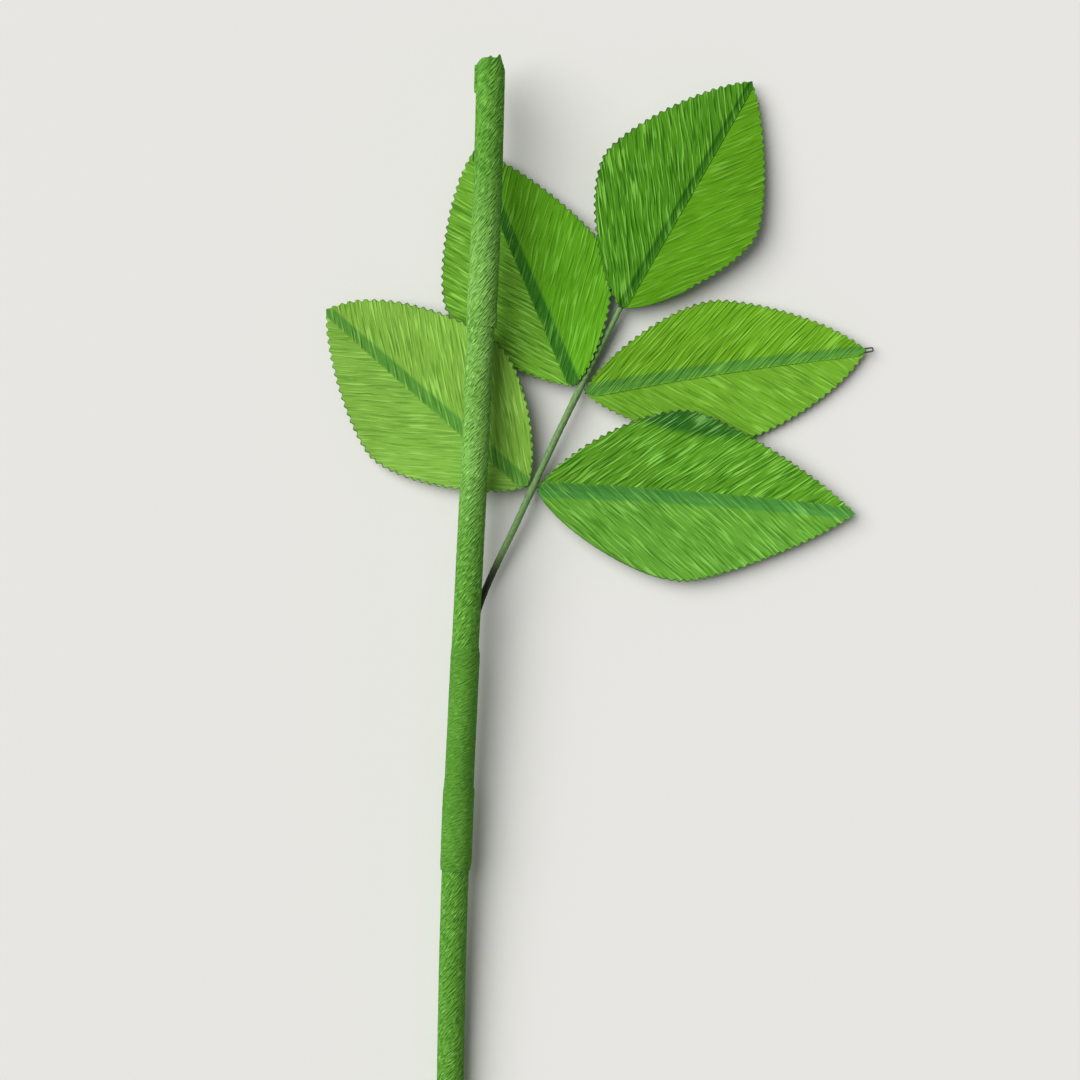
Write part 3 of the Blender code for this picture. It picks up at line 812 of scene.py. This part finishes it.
class LeafShape:
    """The surface that one leaflet's halves and wire follow."""

    def __init__(self, leaf):
        self.leaf = leaf
        self.joint = np.array(stalk_point(leaf.from_end))
        self.heading = direction(leaf.angle)
        self.left = np.array((-self.heading[1], self.heading[0], 0.0))
        self.start = self.clear_of_stalk()
        self.base_height = self.joint[2] + PAPER_GAP + WIRE_DIAMETER / 2
        steepest = math.radians(max(leaf.left_fold, leaf.right_fold) * (1 + FOLD_BELLY))
        self.lap_rise = (SHEET + PAPER_GAP) / math.cos(steepest)
        self.outlines = {
            1: half_outline(leaf.length, leaf.left_width, leaf.left_widest, leaf.left_tip_fullness),
            -1: half_outline(leaf.length, leaf.right_width, leaf.right_widest, leaf.right_tip_fullness),
        }

    def clear_of_stalk(self):
        """How far from the joint's centre both wires clear the slanting stalk."""
        if self.leaf.from_end == 0.0:
            return PAPER_GAP
        span = stalk_point(self.leaf.from_end - STALK_RADIUS) - Vector(self.joint)
        meeting = abs(Vector(self.heading).angle(Vector((span.x, span.y, 0.0))))
        reach = stalk_radius(self.leaf.from_end) + PAPER_GAP
        half_pair = (WIRE_SPREAD + WIRE_DIAMETER) / 2
        return reach / math.sin(meeting) + half_pair / math.tan(min(meeting, math.pi - meeting))

    def midrib_height(self, along):
        """Underside of the lower sheet on the midrib."""
        leaf = self.leaf
        rest = LEAF_REST_HEIGHT + GROUND
        low_at = leaf.touch * leaf.length
        before = rest + (self.base_height - rest) * ((low_at - along) / low_at) ** 2
        after = rest + leaf.tip_rise * ((along - low_at) / (leaf.length - low_at)) ** 2
        return np.where(along < low_at, before, after)

    def points(self, along, across, lift):
        """World points of plan places on the leaflet; left is positive."""
        leaf = self.leaf
        on_left = across >= 0
        fold = np.tan(np.radians(np.where(on_left, leaf.left_fold, leaf.right_fold)))
        width = np.where(on_left, leaf.left_width, leaf.right_width)
        reach = np.abs(across)
        rise = fold * reach * (1 + FOLD_BELLY * (1 - reach / width))
        bend = leaf.arch * np.sin(math.pi * np.clip(along / leaf.length, 0.0, 1.0))
        plan = (self.joint + self.heading * (self.start + along)[..., None]
                + self.left * (across + bend)[..., None])
        plan[..., 2] = self.midrib_height(along) + rise + lift
        return plan

    def half_width(self, along, side):
        """How far one half reaches from the midrib."""
        outline = self.outlines[side]
        return np.interp(along, outline[:, 0], outline[:, 1], left=0.0, right=0.0)

    def covers(self, points):
        """How surely world points lie over this leaflet, 0 outside and 1 well inside."""
        offset = points - self.joint
        along = offset @ self.heading - self.start
        bend = self.leaf.arch * np.sin(math.pi * np.clip(along / self.leaf.length, 0.0, 1.0))
        across = offset @ self.left - bend
        width = np.where(across >= 0, self.half_width(along, 1), self.half_width(along, -1))
        return eased(width - np.abs(across), -0.001, 0.006)


def pinked_margin(outline, uncut):
    """Margin points cut to rounded teeth, with their smooth places along the midrib."""
    spans = np.linalg.norm(np.diff(outline, axis=0), axis=1)
    passed = np.concatenate([[0.0], np.cumsum(spans)])
    teeth = round(passed[-1] / TOOTH_PITCH)
    count = teeth * SAMPLES_PER_TOOTH
    targets = np.linspace(0.0, passed[-1], count + 1)
    smooth = np.stack([np.interp(targets, passed, outline[:, i]) for i in (0, 1)], -1)
    ahead = np.gradient(smooth, axis=0)
    ahead /= np.linalg.norm(ahead, axis=1)[:, None]
    inward = np.stack([ahead[:, 1], -ahead[:, 0]], -1)
    phase = (np.arange(count + 1) % SAMPLES_PER_TOOTH) / SAMPLES_PER_TOOTH
    notch = 0.5 - 0.5 * np.cos(2 * math.pi * phase)
    depth = TOOTH_DEPTH * np.minimum(1.0, smooth[:, 1] / (4 * TOOTH_DEPTH)) * notch
    if uncut:
        depth = depth * (0.08 + 0.92 * eased(targets / passed[-1], uncut * 0.9, uncut * 1.1))
    return smooth, smooth + inward * depth[:, None]


def leaf_half(shape, side, seed, finish, uncut, front_of=None):
    """One half as a fine creased sheet from its lap flap to its pinked margin."""
    leaf = shape.leaf
    word = "left" if side > 0 else "right"
    smooth, margin = pinked_margin(shape.outlines[side], uncut)
    midrib = MIDRIBS[leaf.name]
    on_top = side == midrib.side_on_top
    flap = SEAM_LAP * midrib.width * (1.15 - 0.30 * smooth[:, 0] / leaf.length)
    lap = np.minimum(flap, 0.5 * smooth[:, 1])
    share = np.append(np.linspace(0.0, 0.985, LEAF_ROWS), (0.992, 1.0))[:, None]
    along = smooth[:, 0] + (margin[:, 0] - smooth[:, 0]) * share ** 3
    across = -lap + (margin[:, 1] + lap) * share
    crease = crease_height(along, across, CREASE_ANGLE, CREASE_PITCH, CREASE_RUN, seed)
    fade = eased(np.abs(across), 0.0, 0.003) * 0.7 + 0.3
    lift = (shape.lap_rise if on_top else 0.0) + (SHEET - PAPER) / 2
    if on_top:
        lift = lift - 0.0004 * eased(-across, 0.0, 0.9 * SEAM_LAP)
    points = shape.points(along, across * side, lift + LEAF_RELIEF * crease * fade)
    # Where the painted midrib shade goes, on the half that lies on top.
    band = (1 - eased(np.abs(across), flap * 0.70, flap * 1.20)) if on_top else np.zeros(along.shape)
    # The margin's last rows, where the painted shadow line goes.
    edge = eased(share, 0.983, 0.992) * np.ones(along.shape)
    # How much painted shade falls on this half where another leaflet lies behind it.
    behind = np.zeros(along.shape)
    if front_of:
        behind = front_of.covers(points)
    piece = shaped_grid(
        f"{leaf.name}_{word}_paper", points, np.stack([along, across], -1),
        {"band": band, "edge": edge, "behind": behind})
    if side < 0:
        select_only(piece)
        bpy.ops.object.mode_set(mode="EDIT")
        bpy.ops.mesh.select_all(action="SELECT")
        bpy.ops.mesh.flip_normals()
        bpy.ops.object.mode_set(mode="OBJECT")
    select_only(piece)
    wall = piece.modifiers.new("paper", "SOLIDIFY")
    wall.thickness = PAPER
    wall.offset = 1.0
    bpy.ops.object.modifier_apply(modifier="paper")
    bpy.ops.object.shade_smooth_by_angle(angle=math.radians(50))
    dress(piece, finish, "leaf_paper", f"{leaf.name}_{word}_half")


def midrib_wire(shape, finish):
    """The hairpin of wire under the midrib, its loop towards the tip."""
    leaf = shape.leaf
    drop = -PAPER_GAP - WIRE_DIAMETER / 2
    spread = WIRE_SPREAD / 2
    straight_end = leaf.length + leaf.wire_past_tip - spread - WIRE_DIAMETER / 2
    runs = np.linspace(0.0, straight_end, WIRE_STATIONS)
    bend = np.linspace(0.0, math.pi, WIRE_LOOP_STATIONS)[1:-1]
    along = np.concatenate([runs, straight_end + spread * np.sin(bend), runs[::-1]])
    near_side = np.full(WIRE_STATIONS, spread)
    across = np.concatenate([near_side, spread * np.cos(bend), -near_side])
    route = shape.points(along, across, drop)
    bpy.ops.curve.primitive_nurbs_path_add()
    piece = bpy.context.object
    piece.name = f"{leaf.name}_midrib_wire"
    curve = piece.data
    curve.splines.clear()
    spline = curve.splines.new("POLY")
    spline.points.add(len(route) - 1)
    spline.points.foreach_set("co", np.column_stack([route, np.ones(len(route))]).reshape(-1))
    curve.dimensions = "3D"
    curve.bevel_depth = WIRE_DIAMETER / 2
    curve.bevel_resolution = 2
    curve.use_fill_caps = True
    bpy.ops.object.convert(target="MESH")
    piece = bpy.context.object
    bpy.ops.object.shade_smooth_by_angle(angle=math.radians(50))
    dress(piece, finish, "midrib_wire", f"{leaf.name}_wire")


def make_object():
    """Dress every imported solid."""
    bpy.ops.object.select_all(action="DESELECT")
    base_wrap(stem_paper("crepe round the stem", 1.0, 46.0, 0.00092, 0.0048, 1.1, 0.97))
    top_wrap(stem_paper("crepe round the top", 12.0, 52.0, 0.00095, 0.0052, 1.1, 1.0))
    binding(stem_paper("crepe of the binding", 24.0, 24.0, 0.00085, 0.0042, 0.60, 0.84))
    stalk(tape("floral tape"))
    wire = coated_wire("enamelled wire")
    shapes = {leaf.name: LeafShape(leaf) for leaf in LEAFLETS}
    for number, leaf in enumerate(LEAFLETS):
        shape = shapes[leaf.name]
        for side, word in ((1, "left"), (-1, "right")):
            look = LIT_AND_SHADED_HALVES[f"{leaf.name}_{word}"]
            seed = 3.0 * number + side
            finish = leaf_paper(f"leaf crepe {leaf.name} {word}", look, MIDRIBS[leaf.name].tone, seed)
            # The lower right leaflet gets painted shade where the middle right one lies behind it.
            front_of = shapes["middle_right"] if leaf is LOWER_RIGHT else None
            leaf_half(shape, side, seed, finish, look.uncut, front_of)
        midrib_wire(shape, wire)
    core(sawn_wood("sawn rod"))


def make_floor():
    """A pale floor under the stem."""
    bpy.ops.mesh.primitive_plane_add(size=60.0, location=(0.0, 0.0, GROUND - 0.0001))
    floor = bpy.context.object
    floor.name = "pale_floor"
    finish = Finish("pale floor")
    finish.feed(Base_Color=FLOOR_TONE, Roughness=0.9, Specular_IOR_Level=0.2)
    floor.data.materials.append(finish.material)


def make_lights():
    """A soft key from the upper left and an even pale surround."""
    world = bpy.data.worlds.new("pale surround")
    world.use_nodes = True
    world.node_tree.nodes["Background"].inputs["Color"].default_value = (1.0, 1.0, 1.0, 1.0)
    world.node_tree.nodes["Background"].inputs["Strength"].default_value = 0.20
    bpy.context.scene.world = world
    bpy.ops.object.light_add(type="SUN")
    key = bpy.context.object
    key.name = "key_light"
    key.data.energy = 3.55
    key.data.angle = math.radians(60)
    towards = Vector((0.72, -0.36, -0.92))
    key.rotation_euler = towards.to_track_quat("-Z", "Y").to_euler()


def make_camera():
    """Straight above the stem, the top of the picture towards its top."""
    bpy.ops.object.camera_add(location=(*CAMERA_AT, CAMERA_HEIGHT), rotation=(0.0, 0.0, 0.0))
    camera = bpy.context.object
    camera.data.sensor_width = SENSOR
    camera.data.lens = FOCAL_PIXELS / FRAME_PIXELS * SENSOR
    camera.data.clip_end = 50.0
    bpy.context.scene.camera = camera


make_object()
make_floor()
make_lights()
make_camera()
bpy.context.scene.view_settings.view_transform = "Standard"
